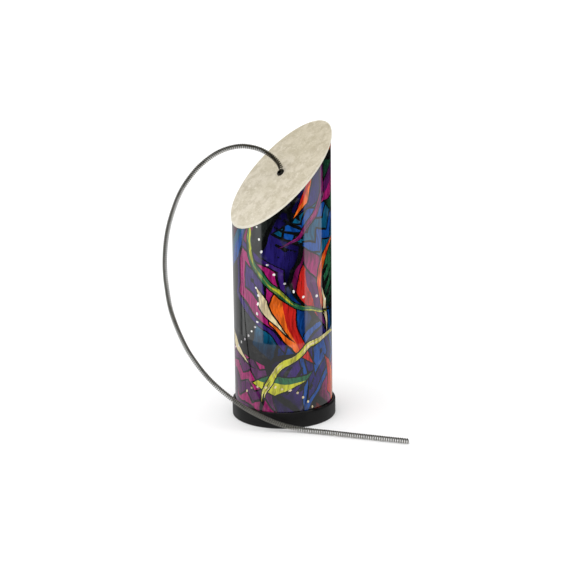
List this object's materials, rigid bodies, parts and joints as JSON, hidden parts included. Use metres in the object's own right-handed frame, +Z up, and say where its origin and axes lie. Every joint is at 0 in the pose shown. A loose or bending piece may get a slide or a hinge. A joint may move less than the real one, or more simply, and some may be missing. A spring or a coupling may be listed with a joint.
{
  "type": "spring drum",
  "caption": "Tall tube drum cut on the slant, with a head glued over the cut and a long coil spring hooked through its middle. Shaking it makes the spring rumble.",
  "frame": {"origin": "centre of the foot ring's underside, on the table", "axes": "+Z up along the tube's axis, +X towards the tall side of the slanted top"},
  "size_m": [0.1689, 0.2106, 0.3037],
  "materials": {
    "fibre_tube": "matt resin-bonded fibre",
    "printed_film": "gloss laminated print in many colours",
    "head_film": "satin film with mottled fibres",
    "glue": "clear amber glue",
    "foot_rubber": "satin moulded",
    "eyelet_black": "black",
    "washer_steel": "plain steel",
    "pin_steel": "plain steel",
    "spring_steel": "drawn spring wire, lightly oiled"
  },
  "bodies": {
    "drum": {"shell": "fibre_tube", "printed_wrap": "printed_film", "drumhead": "head_film", "head_bond": "glue", "foot_ring": "foot_rubber", "eyelet": "eyelet_black", "eyelet_washer": "washer_steel"},
    "anchor": {"spring_pin": "pin_steel"},
    "spring": {"spring": "spring_steel"}
  },
  "joints": [
    {"name": "spring_turn", "type": "hinge", "parent": "drum", "child": "anchor", "pos_m": [0.00157, 0, 0.25411], "axis": [-0.6807, 0, 0.7325], "range_deg": [0, 250]},
    {"name": "spring_swing", "type": "hinge", "parent": "anchor", "child": "spring", "pos_m": [0.00157, 0, 0.25411], "axis": [0.7325, 0, 0.6807], "range_deg": [-30, 0]}
  ]
}
